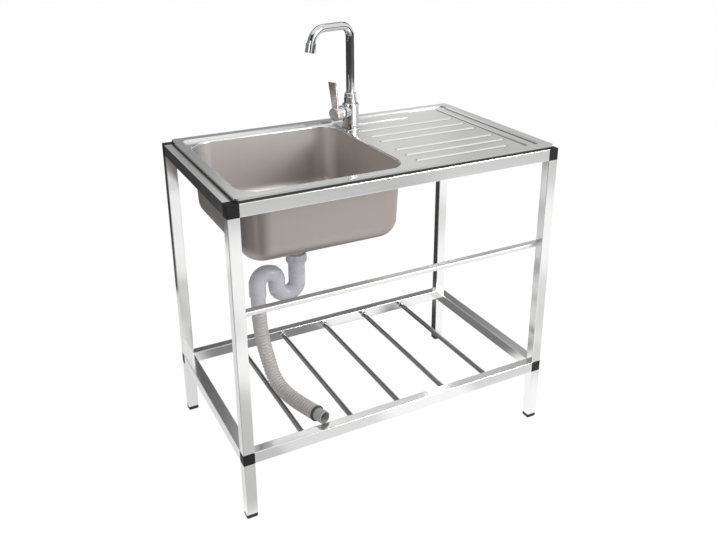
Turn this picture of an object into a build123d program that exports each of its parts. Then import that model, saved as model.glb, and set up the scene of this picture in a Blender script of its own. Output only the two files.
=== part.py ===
"""Free-standing kitchen sink unit: a pressed sink top with one bowl and a drainer on a tube stand,
with a swivelling single-lever tap, a basket strainer, an S-trap and a ribbed drain hose.

Millimetres. X runs to the right, Y to the back, Z up. The origin is on the floor under the centre
of the stand.
"""
from build123d import *
import math
import os

# ---- stand ----------------------------------------------------------------------------------
WIDTH = 868.0            # over the legs, along X
DEPTH = 515.0            # over the legs, along Y
STAND_H = 800.0          # floor to the top of the top rails
LEG_X = 28.0             # leg section along X
LEG_Y = 25.0             # leg section along Y
RAIL_H = 30.0            # height of the rails and of the corner blocks
TUBE_WALL = 1.2
TUBE_R = 1.6             # outer edge radius of the square tube
SHELF_TOP = 184.0        # top of the shelf rails
FOOT_H = 12.0
SPIGOT_L = 26.0          # how far a corner block reaches into a tube
SPIGOT_FIT = 0.15        # gap round a spigot

LEG_CX = WIDTH / 2 - LEG_X / 2
LEG_CY = DEPTH / 2 - LEG_Y / 2
TOP_BLOCK_Z = STAND_H - RAIL_H
SHELF_BLOCK_Z = SHELF_TOP - RAIL_H
RAIL_LX = WIDTH - 2 * LEG_X          # free length between two corner blocks along X
RAIL_LY = DEPTH - 2 * LEG_Y
CORNERS = {"fl": (-1, -1), "fr": (1, -1), "bl": (-1, 1), "br": (1, 1)}

# levelling feet
STUD_R = 4.0
STUD_L = 34.0
STUD_GAP = 0.06
INSERT_H = 28.0

# shelf rods
ROD_XS = (-271.0, -136.0, 0.0, 136.0, 271.0)
ROD_R = 6.5
ROD_WALL = 1.0
ROD_Z = 168.0
ROD_REACH = 5.0          # how far a rod end passes through the rail wall
BUSH_R = 7.6
BUSH_FLANGE_R = 9.0
BUSH_FLANGE_T = 2.0

# middle rail, behind the front legs
MID_L = 848.0
MID_H = 11.5
MID_D = 20.0
MID_Z = 524.0            # underside
MID_R = 3.0
MID_WALL = 1.0
MID_SCREW_X = 412.0
SCREW_R = 2.0
SCREW_HEAD_R = 4.2
SCREW_HEAD_H = 2.4

# ---- sink top -------------------------------------------------------------------------------
SHEET = 1.0              # sheet thickness
TOP_X0, TOP_X1 = -412.0, 426.0
TOP_Y0, TOP_Y1 = -250.0, 250.0
TOP_CORNER_R = 9.0
RIM_Z = 808.5            # top of the raised rim
HEM_Z = 804.0            # lower edge of the folded hem
FIELD_Z = 802.0          # drainer field and the land round the bowl
LEDGE_Z = 804.8          # tap ledge and the right-hand step
BAND = 24.0              # width of the flat rim band
BAND_LEFT = 20.0
SLOPE = math.tan(math.radians(30))   # how far a formed wall leans out per mm of height
STEP_X0 = 373.0          # left edge of the step beside the right-hand rim
BOWL_X0, BOWL_X1 = -383.0, 24.5
BOWL_Y0, BOWL_Y1 = -212.0, 212.0
BOWL_R = 62.0            # corner radius of the opening
BOWL_FLOOR_Z = 621.0     # inside floor
BOWL_DRAFT = 9.0         # how much each wall leans in from the lip to the floor
BOWL_BOTTOM_R = 44.0
LIP_R = 4.0
DRAIN_X, DRAIN_Y = -180.0, 0.0
SEAT_R = 58.5            # recess for the strainer flange
SEAT_DEPTH = 3.4
DRAIN_HOLE_R = 45.0
RIB_YS = (-182.0, -133.0, -84.0, -4.0, 48.0, 108.0)
RIB_X0, RIB_X1 = 60.0, 358.0
FRONT_RIB_X1 = 332.0
RIB_W = 15.0
RIB_H = 2.6
DIMPLES = ((44.0, 56.0), (44.0, -1.5))
DIMPLE_R = 4.0
SEAL_W = 6.0
SEAL_INSET = 1.0

# ---- strainer and trap ----------------------------------------------------------------------
FLANGE_R = 57.0
FLANGE_T = 2.0
CUP_R = 44.4             # outside of the strainer cup
CUP_WALL = 3.0
SHOULDER_DROP = 5.5      # basket seat below the flange's top
CUP_DEPTH = 30.0
GASKET_H = 3.0
LOCKNUT_H = 10.0
LOCKNUT_LOBES = 8
NECK_R = 23.5
NECK_Z = 560.0           # lower end of the strainer neck
PIPE_IN_R = 16.0
TAIL_R = 18.0            # tailpiece outside
NUT_R = 27.0
NUT_H = 24.0
NUT_LOW_Z = 517.0
NUT_HIGH_Z = 551.0
TRAP_R = 21.5
TRAP_BORE_R = 18.3
TRAP_TOP_Z = 538.0
DIP_Z = 462.0            # centre height of the lower bend
DIP_R = 28.0
CROWN_Z = 474.5
CROWN_R = 26.0
SPIGOT_R = 15.6
COLLAR_R = 19.0
COLLAR_TOP_Z = 443.0
COLLAR_LOW_Z = 415.0
SEAM_T = 1.2
SEAM_H = 1.1
NUB_R = 3.0
NUB_ANGLE = 58.0         # where the moulding nub sits on the crown, degrees from +X

# ---- drain hose -----------------------------------------------------------------------------
HOSE_R = 19.2            # over the ribs
HOSE_ROOT_R = 17.0
HOSE_BORE_R = 14.4
HOSE_PITCH = 9.0
HOSE_ROUTE = [
    (-288.0, 0.0, 415.0),
    (-288.0, 0.0, 346.0),
    (-271.0, -3.0, 256.0),
    (-266.0, -23.0, 214.0),
    (-257.0, -61.0, 190.0),
    (-243.0, -130.0, 189.0),
    (-222.0, -196.0, 192.5),
]
CUFF_RING_R = 20.0
CUFF_RING_L = 6.0
CUFF_R = 16.0            # smooth sleeve after the ring
CUFF_L = 32.0

# ---- tap ------------------------------------------------------------------------------------
TAP_X, TAP_Y = 57.0, 155.0
TAP_BOSS_R = 26.0
TAP_HOLE_R = 17.5
TAP_R = 23.3
TAP_TOP_Z = 873.0
GASKET_T = 1.2
SHANK_R = 16.0
SHANK_Z = 768.0
INLET_R = 4.6
INLET_DX = 8.5
INLET_DEPTH = 14.0
WATERWAY_R = 6.0
CLAMP_R = 22.0
SPOUT_R = 11.0
SPOUT_WALL = 1.5
SPOUT_GAP = 0.06
SPOUT_FOOT_Z = 870.0     # lower end of the spout, inside the body
SPOUT_FLANGE_R = 13.0
SPOUT_FLANGE_T = 3.0
SPOUT_TOP_Z = 1079.0     # axis of the level run
SPOUT_AZ = 195.0         # direction of the spout, degrees from +X
SPOUT_BEND = 30.0
SPOUT_LEVEL = 59.0       # length of the level run
SPOUT_DROP_BEND = 42.0
SPOUT_DROP_TURN = 78.0   # the outlet leans out by the rest of 90 degrees
SPOUT_TAIL = 20.0        # straight end that the aerator screws on to
NECK_TOP_Z = 890.0
TAP_NECK_R = 14.0
COLLAR_H = 27.0
TAP_COLLAR_R = 17.2
AERATOR_R = 13.0
AERATOR_H = 24.0
AERATOR_DROP = 4.5       # how far the aerator reaches past the tube's end
BRANCH_AZ = 200.0        # direction of the cartridge housing
BRANCH_Z = 851.0
BRANCH_R = 19.0
BRANCH_END = 34.0        # from the tap's axis
HOUSING_R = 15.5         # bore for the cartridge
SKIRT_X = 29.0           # where the cap's skirt seats
PIVOT = 36.0             # lever pivot, from the tap's axis
DOME_R = 17.0
DOME_WALL = 1.5
DOME_MOUTH = 38.0        # half angle of the opening that the lever comes through
TURRET_NOSE = 44.0       # front end of the cartridge's turret
TURRET_NOSE_R = 12.0
CUP_GAP = 0.8
PIN_R = 2.0
PIN_GAP = 0.06
STEM_W = 7.0
STEM_EYE_R = 5.5
STEM_L = 27.9            # from the pivot to the stem's end
STEM_GAP = 0.1
HUB_R = 18.2
HUB_RIM = 43.0           # rim of the handle's hub, from the tap's axis
HUB_END = 67.0
BLADE_ROOT_X = 56.0
BLADE_ROOT_W = 20.0
BLADE_ROOT_T = 8.0
BLADE_W = 28.0
BLADE_T = 5.0
BLADE_TOP = 87.0
BLADE_LEAN = 12.0


# ---- helpers --------------------------------------------------------------------------------
def block(x0, x1, y0, y1, z0, z1):
    """A box given by its limits."""
    middle = Pos((x0 + x1) / 2, (y0 + y1) / 2, (z0 + z1) / 2)
    return middle * Box(x1 - x0, y1 - y0, z1 - z0)


def disc(x, y, z0, z1, r):
    """An upright cylinder between two heights."""
    return Pos(x, y, (z0 + z1) / 2) * Cylinder(r, z1 - z0)


def ring(x, y, z0, z1, r_out, r_in):
    """An upright sleeve between two heights."""
    return disc(x, y, z0, z1, r_out) - disc(x, y, z0 - 1, z1 + 1, r_in)


def one(shape):
    """The single solid of a shape."""
    solids = shape.solids()
    assert len(solids) == 1, f"expected one solid, found {len(solids)}"
    return solids[0]


def group(shapes):
    """Several separate solids kept together."""
    return Compound(children=[one(s) for s in shapes])


def square_tube(length, size_x, size_y, wall=TUBE_WALL, radius=TUBE_R):
    """A hollow section standing on the XY plane."""
    outside = RectangleRounded(size_x, size_y, radius)
    inside = RectangleRounded(size_x - 2 * wall, size_y - 2 * wall, max(radius - wall, 0.4))
    return extrude(outside - inside, length)


def along_x(shape):
    """Turn an upright piece to lie along +X, its own X side now downwards."""
    return Rot(0, 90, 0) * shape


def along_y(shape):
    """Turn an upright piece to lie along +Y."""
    return Rot(-90, 0, 0) * shape


def rounded_plate(x0, x1, y0, y1, radius, z):
    """A flat rounded rectangle at a height."""
    outline = RectangleRounded(x1 - x0, y1 - y0, radius)
    return Pos((x0 + x1) / 2, (y0 + y1) / 2, z) * outline


def revolved(points, axis=Axis.Z):
    """A turned piece: its half section is drawn as (radius, height)."""
    return revolve(make_face(Plane.XZ * Polyline(*points, close=True)), axis)


# ---- stand ----------------------------------------------------------------------------------
def spigot(size_x, size_y):
    """The plug of a corner block that fits inside a tube; it stands on the XY plane."""
    fit_x = size_x - 2 * TUBE_WALL - 2 * SPIGOT_FIT
    fit_y = size_y - 2 * TUBE_WALL - 2 * SPIGOT_FIT
    plug = Pos(0, 0, SPIGOT_L / 2 - 2) * Box(fit_x, fit_y, SPIGOT_L + 4)
    plug = chamfer(plug.faces().sort_by(Axis.Z)[-1].edges(), 1.5)
    groove_d = 1.4
    for z in (7.0, 14.0):
        band = Pos(0, 0, z) * (Box(fit_x + 2, fit_y + 2, 2.4) - Box(fit_x - groove_d, fit_y - groove_d, 3))
        plug -= band
    return plug


def corner_block(sx, sy, z0, up, down):
    """Moulded corner: a block as thick as the tubes, with a plug for every tube that meets it."""
    body = Pos(sx * LEG_CX, sy * LEG_CY, z0 + RAIL_H / 2) * Box(LEG_X, LEG_Y, RAIL_H)
    body = fillet(body.edges().filter_by(Axis.Z), TUBE_R)
    mid_z = z0 + RAIL_H / 2
    to_x = Pos(sx * (LEG_CX - LEG_X / 2), sy * LEG_CY, mid_z) * Rot(0, -90 * sx, 0)
    to_y = Pos(sx * LEG_CX, sy * (LEG_CY - LEG_Y / 2), mid_z) * Rot(90 * sy, 0, 0)
    body += to_x * spigot(RAIL_H, LEG_Y)
    body += to_y * spigot(LEG_X, RAIL_H)
    if up:
        body += Pos(sx * LEG_CX, sy * LEG_CY, z0 + RAIL_H) * spigot(LEG_X, LEG_Y)
    if down:
        body += Pos(sx * LEG_CX, sy * LEG_CY, z0) * Rot(180, 0, 0) * spigot(LEG_X, LEG_Y)
    return body


def leg(sx, sy, z0, z1):
    """One upright tube; the front legs have a screw hole for the middle rail."""
    tube = Pos(sx * LEG_CX, sy * LEG_CY, z0) * square_tube(z1 - z0, LEG_X, LEG_Y)
    mid_z = MID_Z + MID_H / 2
    if sy < 0 and z0 < mid_z < z1:
        hole = Pos(sx * MID_SCREW_X, -LEG_CY + LEG_Y / 2, mid_z) * Rot(90, 0, 0) * Cylinder(SCREW_R + 0.2, 6)
        tube -= hole
    return tube


def rail_x(sy, z0):
    """A front or back rail."""
    tube = along_x(square_tube(RAIL_LX, RAIL_H, LEG_Y))
    return Pos(-RAIL_LX / 2, sy * LEG_CY, z0 + RAIL_H / 2) * tube


def rail_y(sx, z0):
    """A left or right rail."""
    tube = along_y(square_tube(RAIL_LY, LEG_X, RAIL_H))
    return Pos(sx * LEG_CX, -RAIL_LY / 2, z0 + RAIL_H / 2) * tube


def shelf_rail_x(sy):
    """A front or back shelf rail, pierced on its inner wall for the rod bushes."""
    tube = rail_x(sy, SHELF_BLOCK_Z)
    inner_y = sy * (LEG_CY - LEG_Y / 2)
    for x in ROD_XS:
        tube -= Pos(x, inner_y, ROD_Z) * Rot(90, 0, 0) * Cylinder(BUSH_R + 0.1, 6)
    return tube


def shelf_rods():
    """Five round tubes from front to back."""
    half = RAIL_LY / 2 + TUBE_WALL + ROD_REACH
    rods = []
    for x in ROD_XS:
        rod = Cylinder(ROD_R, 2 * half) - Cylinder(ROD_R - ROD_WALL, 2 * half + 2)
        rods.append(Pos(x, 0, ROD_Z) * Rot(90, 0, 0) * rod)
    return group(rods)


def rod_bushes():
    """A flanged plastic bush in each rod hole."""
    bushes = []
    sleeve_l = TUBE_WALL + 2.5
    bore = ROD_R + 0.1
    half_section = [(bore, BUSH_FLANGE_T), (BUSH_FLANGE_R - 0.8, BUSH_FLANGE_T)]
    half_section += [(BUSH_FLANGE_R, BUSH_FLANGE_T - 0.8), (BUSH_FLANGE_R, 0), (BUSH_R, 0)]
    half_section += [(BUSH_R, -sleeve_l), (bore, -sleeve_l)]
    for sy in (-1, 1):
        for x in ROD_XS:
            place = Pos(x, sy * RAIL_LY / 2, ROD_Z) * Rot(90 * sy, 0, 0)
            bushes.append(place * revolved(half_section))
    return group(bushes)


def foot_inserts():
    """A plug in each lower leg that takes the stud of the foot."""
    inserts = []
    fit_x = LEG_X - 2 * TUBE_WALL - 2 * SPIGOT_FIT
    fit_y = LEG_Y - 2 * TUBE_WALL - 2 * SPIGOT_FIT
    for sx, sy in CORNERS.values():
        plug = Pos(0, 0, FOOT_H + INSERT_H / 2) * Box(fit_x, fit_y, INSERT_H)
        plug = chamfer(plug.faces().sort_by(Axis.Z)[-1].edges(), 1.5)
        plug -= Pos(0, 0, FOOT_H + INSERT_H / 2) * Cylinder(STUD_R + STUD_GAP, INSERT_H + 4)
        inserts.append(Pos(sx * LEG_CX, sy * LEG_CY, 0) * plug)
    return group(inserts)


def foot(sx, sy):
    """A levelling foot: a round-edged pad on a stud."""
    pad = extrude(RectangleRounded(LEG_X, LEG_Y, 4.0), FOOT_H)
    pad = fillet(pad.faces().sort_by(Axis.Z)[0].edges(), 3.6)
    stud = Pos(0, 0, FOOT_H + STUD_L / 2 - 1) * Cylinder(STUD_R, STUD_L + 2)
    stud = chamfer(stud.faces().sort_by(Axis.Z)[-1].edges(), 1.0)
    return Pos(sx * LEG_CX, sy * LEG_CY, 0) * (pad + stud)


def mid_rail():
    """A flat oval-edged tube across the back of the front legs."""
    tube = along_x(square_tube(MID_L, MID_H, MID_D, MID_WALL, MID_R))
    tube = Pos(-MID_L / 2, -RAIL_LY / 2 + MID_D / 2, MID_Z + MID_H / 2) * tube
    for sx in (-1, 1):
        place = Pos(sx * MID_SCREW_X, -RAIL_LY / 2 + MID_D / 2, MID_Z + MID_H / 2)
        tube -= place * Rot(90, 0, 0) * Cylinder(SCREW_R + 0.2, MID_D + 4)
    return tube


def mid_rail_end_plugs():
    """A cap in each end of the middle rail."""
    plugs = []
    for sx in (-1, 1):
        head = extrude(RectangleRounded(MID_H, MID_D, MID_R), 2.0)
        head = fillet(head.faces().sort_by(Axis.Z)[-1].edges(), 0.8)
        stem_x = MID_H - 2 * MID_WALL - 0.3
        stem_y = MID_D - 2 * MID_WALL - 0.3
        stem = Pos(0, 0, -3) * extrude(RectangleRounded(stem_x, stem_y, 1.8), 4)
        place = Pos(sx * MID_L / 2, -RAIL_LY / 2 + MID_D / 2, MID_Z + MID_H / 2) * Rot(0, 90 * sx, 0)
        plugs.append(place * (head + stem))
    return group(plugs)


def mid_rail_screws():
    """A pan-head screw through each end of the middle rail into the leg."""
    screws = []
    shank_l = MID_D + TUBE_WALL + 6
    for sx in (-1, 1):
        head = Pos(0, 0, SCREW_HEAD_H / 2) * Cylinder(SCREW_HEAD_R, SCREW_HEAD_H)
        head = fillet(head.faces().sort_by(Axis.Z)[-1].edges(), 1.2)
        slot = Pos(0, 0, SCREW_HEAD_H) * (Box(4.4, 0.9, 2.2) + Box(0.9, 4.4, 2.2))
        shank = Pos(0, 0, -shank_l / 2 + 0.5) * Cylinder(SCREW_R, shank_l + 1)
        place = Pos(sx * MID_SCREW_X, -RAIL_LY / 2 + MID_D, MID_Z + MID_H / 2) * Rot(-90, 0, 0)
        screws.append(place * (head + shank - slot))
    return group(screws)


# ---- sink top -------------------------------------------------------------------------------
def field_pocket(drop, grow):
    """The space above the sunk field, inside the sloping wall of the rim."""
    rise = RIM_Z + 2 - FIELD_Z
    wall = (RIM_Z - FIELD_Z) * SLOPE
    x0 = TOP_X0 + BAND_LEFT + wall - grow
    x1 = TOP_X1 - BAND - wall + grow
    y0 = TOP_Y0 + BAND + wall - grow
    y1 = TOP_Y1 - BAND - wall + grow
    lean = rise * SLOPE
    low = rounded_plate(x0, x1, y0, y1, 14.0, FIELD_Z - drop)
    high = rounded_plate(x0 - lean, x1 + lean, y0 - lean, y1 + lean, 14.0 + lean, FIELD_Z - drop + rise)
    return loft([low, high], ruled=True)


def drainer_rib(y, x1, drop, shrink):
    """One raised rib with round ends and sloping flanks."""
    length = x1 - RIB_X0 - 2 * shrink
    width = RIB_W - 2 * shrink
    lean = 2 * RIB_H
    centre = ((RIB_X0 + x1) / 2, y)
    low = Pos(*centre, FIELD_Z - drop - 0.6) * SlotOverall(length + 1.2, width + 1.2)
    high = Pos(*centre, FIELD_Z - drop + RIB_H) * SlotOverall(length - 2 * lean, width - 2 * lean)
    return loft([low, high], ruled=True)


def tap_ledge(drop, shrink):
    """The raised landing: round the tap, then on to a slanted right end along the back rim."""
    height = LEDGE_Z - FIELD_Z
    top_y = TOP_Y1 - 12.0
    side = TAP_X - TAP_BOSS_R

    def outline(inset):
        r = TAP_BOSS_R - inset
        front = 170.0 + inset
        arc = ThreePointArc((TAP_X - r, TAP_Y), (TAP_X, TAP_Y - r), (TAP_X + r, TAP_Y))
        rest = Polyline(
            (TAP_X + r, TAP_Y), (TAP_X + r, front), (247.0 - inset, front),
            (294.0 - inset, top_y), (side + inset, top_y), (TAP_X - r, TAP_Y),
        )
        return make_face(arc + rest)

    low = Pos(0, 0, FIELD_Z - drop - 0.5) * outline(shrink - 0.5 * SLOPE)
    high = Pos(0, 0, LEDGE_Z - drop) * outline(shrink + height * SLOPE)
    return loft([low, high], ruled=True)


def right_step(drop, shrink):
    """The lower of the two steps beside the right-hand rim."""
    lean = (LEDGE_Z - FIELD_Z) * SLOPE
    x0 = STEP_X0 + shrink
    x1 = TOP_X1 - 12.0
    section = Polyline(
        (x0 - 0.5 * SLOPE, FIELD_Z - drop - 0.5), (x0 + lean, LEDGE_Z - drop),
        (x1, LEDGE_Z - drop), (x1, FIELD_Z - drop - 0.5), close=True,
    )
    reach = (TOP_Y1 - TOP_Y0) / 2 - 12.0
    return extrude(make_face(Plane.XZ * section), reach, both=True)


def formed_block(drop, inset, grow):
    """Everything under the top's surface, moved down by drop, its edge taken in by inset."""
    outline = rounded_plate(TOP_X0 + inset, TOP_X1 - inset, TOP_Y0 + inset, TOP_Y1 - inset,
                            TOP_CORNER_R - inset, FIELD_Z - 12.0)
    solid = extrude(outline, RIM_Z - drop - FIELD_Z + 12.0)
    solid -= field_pocket(drop, grow)
    solid += right_step(drop, grow)
    solid += tap_ledge(drop, grow)
    for y in RIB_YS:
        x1 = FRONT_RIB_X1 if y == RIB_YS[0] else RIB_X1
        solid += drainer_rib(y, x1, drop, grow)
    return solid


def bowl_form(out):
    """The bowl's space (out = 0) or its outside (out = sheet thickness)."""
    depth = FIELD_Z - BOWL_FLOOR_Z
    over = 0.0 if out else 6.0
    flare = BOWL_DRAFT * over / depth

    def outline(grow, z):
        return rounded_plate(BOWL_X0 - grow, BOWL_X1 + grow, BOWL_Y0 - grow, BOWL_Y1 + grow,
                             BOWL_R + grow, z)

    low = outline(out - BOWL_DRAFT, BOWL_FLOOR_Z - out)
    high = outline(out + flare, FIELD_Z + over)
    form = loft([low, high], ruled=True)
    floor = form.faces().sort_by(Axis.Z)[0]
    return fillet(floor.edges(), BOWL_BOTTOM_R + out)


def drain_seat(drop):
    """The shallow recess that is pressed round the drain hole."""
    z = BOWL_FLOOR_Z - drop
    section = [(0, z + 0.5), (SEAT_R + 4.5, z + 0.5), (SEAT_R + 4, z), (SEAT_R, z - SEAT_DEPTH)]
    section += [(0, z - SEAT_DEPTH)]
    return Pos(DRAIN_X, DRAIN_Y, 0) * revolved(section)


def rolled_lip(top):
    """Round the sheet over the bowl's edge: under the sheet first, then on top."""
    for z, radius in ((FIELD_Z - SHEET, LIP_R - SHEET), (FIELD_Z, LIP_R)):
        lip = []
        for edge in top.edges():
            box = edge.bounding_box()
            level = abs(box.min.Z - z) < 0.01 and abs(box.max.Z - z) < 0.01
            if level and box.min.X > BOWL_X0 - 2 and box.max.X < BOWL_X1 + 2 and abs(box.min.Y) < BOWL_Y1 + 2:
                lip.append(edge)
        top = fillet(lip, radius)
    return top


def sink_top():
    """One pressed sheet: rim with hem, sunk field, ledge, ribs and bowl."""
    thin = SHEET * (1 / math.cos(math.radians(30)) - SLOPE)
    top = formed_block(0.0, 0.0, 0.0) - formed_block(SHEET, SHEET, thin)
    skirt = block(TOP_X0 - 5, TOP_X1 + 5, TOP_Y0 - 5, TOP_Y1 + 5, FIELD_Z - 20, HEM_Z)
    keep = 2.0
    skirt -= block(TOP_X0 + BAND_LEFT - keep, TOP_X1 - BAND + keep, TOP_Y0 + BAND - keep,
                   TOP_Y1 - BAND + keep, FIELD_Z - 30, HEM_Z + 1)
    top -= skirt
    outside = bowl_form(SHEET) + drain_seat(SHEET)
    inside = bowl_form(0.0) + drain_seat(0.0)
    top = top + (outside - block(-500, 500, -300, 300, FIELD_Z - SHEET / 2, FIELD_Z + 50))
    top = rolled_lip(top - inside)
    top -= disc(DRAIN_X, DRAIN_Y, 600, 640, DRAIN_HOLE_R)
    top -= disc(TAP_X, TAP_Y, FIELD_Z - 20, RIM_Z, TAP_HOLE_R)
    for x, y in DIMPLES:
        dent = Pos(x, y, FIELD_Z + DIMPLE_R - 0.7) * Sphere(DIMPLE_R)
        top -= dent
    return one(top)


def rim_seal():
    """The dark strip between the hem and the top rails."""
    a = SEAL_INSET
    b = SEAL_INSET + SEAL_W
    outer = rounded_plate(TOP_X0 + a, TOP_X1 - a, TOP_Y0 + a, TOP_Y1 - a, TOP_CORNER_R - a, STAND_H)
    inner = rounded_plate(TOP_X0 + b, TOP_X1 - b, TOP_Y0 + b, TOP_Y1 - b, 2.0, STAND_H)
    return extrude(outer - inner, HEM_Z - STAND_H)


# ---- strainer and trap ----------------------------------------------------------------------
FLANGE_Z = BOWL_FLOOR_Z - SEAT_DEPTH           # underside of the strainer flange
SEAT_UNDER_Z = FLANGE_Z - SHEET                # underside of the sheet round the drain hole
CUP_BOTTOM_Z = FLANGE_Z + FLANGE_T - CUP_DEPTH
SHOULDER_Z = FLANGE_Z + FLANGE_T - SHOULDER_DROP


def strainer_body():
    """Flange, cup with a seat for the basket, and the threaded neck below."""
    top = FLANGE_Z + FLANGE_T
    inner = CUP_R - CUP_WALL
    section = [
        (inner, top), (FLANGE_R - 1, top), (FLANGE_R, top - 1), (FLANGE_R, FLANGE_Z),
        (CUP_R, FLANGE_Z), (CUP_R, CUP_BOTTOM_Z - 3), (CUP_R - 5, CUP_BOTTOM_Z - 8),
        (NECK_R, CUP_BOTTOM_Z - 12), (NECK_R, NECK_Z), (PIPE_IN_R + 2, NECK_Z),
        (PIPE_IN_R + 2, CUP_BOTTOM_Z - 7), (inner - 6, CUP_BOTTOM_Z - 3),
        (inner - 3, CUP_BOTTOM_Z), (inner - 3, SHOULDER_Z), (inner, SHOULDER_Z),
    ]
    return Pos(DRAIN_X, DRAIN_Y, 0) * revolved(section)


def strainer_gasket():
    """Rubber ring under the sheet."""
    return ring(DRAIN_X, DRAIN_Y, SEAT_UNDER_Z - GASKET_H, SEAT_UNDER_Z, SEAT_R - 2, CUP_R + 0.1)


def strainer_locknut():
    """Lobed ring nut that draws the strainer down."""
    z1 = SEAT_UNDER_Z - GASKET_H
    nut = ring(DRAIN_X, DRAIN_Y, z1 - LOCKNUT_H, z1, SEAT_R - 6, CUP_R + 0.1)
    lobe = Pos(SEAT_R - 6, 0, 0) * Box(7, 11, LOCKNUT_H - 3)
    for i in range(LOCKNUT_LOBES):
        turn = Rot(0, 0, 360 / LOCKNUT_LOBES * i)
        nut += Pos(DRAIN_X, DRAIN_Y, z1 - (LOCKNUT_H + 3) / 2) * turn * lobe
    return nut


def strainer_basket():
    """Lift-out cup with drain holes and a knob."""
    rim = CUP_R - CUP_WALL - 0.5
    wall = rim - 4
    z0 = SHOULDER_Z
    floor = CUP_BOTTOM_Z + 2
    section = [
        (0, floor), (wall - 5, floor), (wall, z0), (rim, z0), (rim, z0 + 1.4),
        (wall - 1.2, z0 + 1.4), (wall - 6.2, floor + 1.4), (7, floor + 1.4), (3, floor + 3),
        (3, z0 + 3), (8, z0 + 5), (8, z0 + 8), (6.5, z0 + 9.5), (0, z0 + 9.5),
    ]
    cup = revolved(section)
    for count, r in ((10, 13.0), (16, 23.0)):
        for i in range(count):
            a = 2 * math.pi * i / count
            cup -= Pos(r * math.cos(a), r * math.sin(a), floor) * Cylinder(2.2, 8)
    return Pos(DRAIN_X, DRAIN_Y, 0) * cup


def tailpiece():
    """Flanged pipe from the strainer neck down into the trap."""
    section = [
        (PIPE_IN_R, NECK_Z), (NECK_R, NECK_Z), (NECK_R, NECK_Z - 2.5), (TAIL_R, NECK_Z - 2.5),
        (TAIL_R, 495), (PIPE_IN_R, 495),
    ]
    return Pos(DRAIN_X, DRAIN_Y, 0) * revolved(section)


def slip_nut(z0):
    """A ribbed union nut with an inward lip at its lower end."""
    top = z0 + NUT_H
    section = [
        (NUT_R - 3, z0), (NUT_R - 0.8, z0 + 1.5), (NUT_R - 0.8, z0 + 4), (NUT_R, z0 + 5),
        (NUT_R, z0 + 8), (NUT_R - 1.4, z0 + 9), (NUT_R - 1.4, top - 1), (NUT_R - 2.4, top),
        (NECK_R + 0.2, top), (NECK_R + 0.2, z0 + 4), (TRAP_R + 0.3, z0 + 4), (TRAP_R + 0.3, z0),
    ]
    nut = revolved(section)
    rib = Pos(NUT_R - 1.5, 0, z0 + 9 + (NUT_H - 11) / 2) * Box(2.6, 2.2, NUT_H - 11)
    for i in range(12):
        nut += Rot(0, 0, 30 * i) * rib
    return Pos(DRAIN_X, DRAIN_Y, 0) * nut


def trap_path(top_z, low_z):
    """Centre line of the trap: down, round the dip, up, over the crown and down."""
    x0 = DRAIN_X
    x1 = x0 - 2 * DIP_R
    x2 = x1 - 2 * CROWN_R
    dip = ThreePointArc((x0, DIP_Z), (x0 - DIP_R, DIP_Z - DIP_R), (x1, DIP_Z))
    crown = ThreePointArc((x1, CROWN_Z), (x1 - CROWN_R, CROWN_Z + CROWN_R), (x2, CROWN_Z))
    lines = Line((x0, top_z), (x0, DIP_Z)) + dip + Line((x1, DIP_Z), (x1, CROWN_Z)) + crown
    lines += Line((x2, CROWN_Z), (x2, low_z))
    return lines


def trap_bend():
    """One blown bend with its mould seam, an inlet thread and an outlet spigot."""
    x2 = DRAIN_X - 2 * DIP_R - 2 * CROWN_R
    path = Plane.XZ * trap_path(TRAP_TOP_Z, COLLAR_TOP_Z)
    start = Plane(origin=(DRAIN_X, 0, TRAP_TOP_Z), z_dir=(0, 0, -1))
    outside = sweep(start * Circle(TRAP_R), path)
    seam_path = trap_path(NUT_LOW_Z - 2, COLLAR_TOP_Z + 2)
    seam = Plane.XZ * trace(seam_path, 2 * (TRAP_R + SEAM_H))
    bend = outside + extrude(seam, SEAM_T / 2, both=True)
    bend += disc(DRAIN_X, 0, NUT_LOW_Z + 4.5, TRAP_TOP_Z, NECK_R)
    bend += disc(x2, 0, COLLAR_LOW_Z, COLLAR_TOP_Z + 1, SPIGOT_R)
    nub = Pos(0, 0, CROWN_R + TRAP_R - 2) * Cylinder(NUB_R, 7)
    bend += Pos(DRAIN_X - 2 * DIP_R - CROWN_R, 0, CROWN_Z) * Rot(0, 90 - NUB_ANGLE, 0) * nub
    bore_path = Plane.XZ * trap_path(TRAP_TOP_Z, COLLAR_TOP_Z + 6)
    bend -= sweep(start * Circle(TRAP_BORE_R), bore_path)
    bend -= disc(DRAIN_X, 0, TRAP_TOP_Z - 1, TRAP_TOP_Z + 1, TRAP_BORE_R)
    bend -= disc(x2, 0, COLLAR_LOW_Z - 1, COLLAR_TOP_Z + 8, SPIGOT_R - 2.4)
    return one(bend)


def hose_collar():
    """Beaded collar that holds the hose on the trap's spigot."""
    x2 = DRAIN_X - 2 * DIP_R - 2 * CROWN_R
    bore = SPIGOT_R + 0.2
    body = COLLAR_R - 1.0
    section = [(bore, COLLAR_LOW_Z), (body, COLLAR_LOW_Z)]
    for i in range(3):
        z = COLLAR_LOW_Z + 3 + 8 * i
        section += [(body, z), (COLLAR_R, z + 1), (COLLAR_R, z + 3), (body, z + 4)]
    section += [(body, COLLAR_TOP_Z), (bore, COLLAR_TOP_Z)]
    return Pos(x2, 0, 0) * revolved(section)


# ---- drain hose -----------------------------------------------------------------------------
def route_radii(points):
    """One arc radius for each corner of a route: as large as its two runs allow."""
    radii = []
    for a, b, c in zip(points, points[1:], points[2:]):
        u = Vector(*b) - Vector(*a)
        v = Vector(*c) - Vector(*b)
        half_turn = math.radians(u.get_angle(v)) / 2
        radii.append(0.45 * min(u.length, v.length) / math.tan(half_turn))
    return radii


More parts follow.
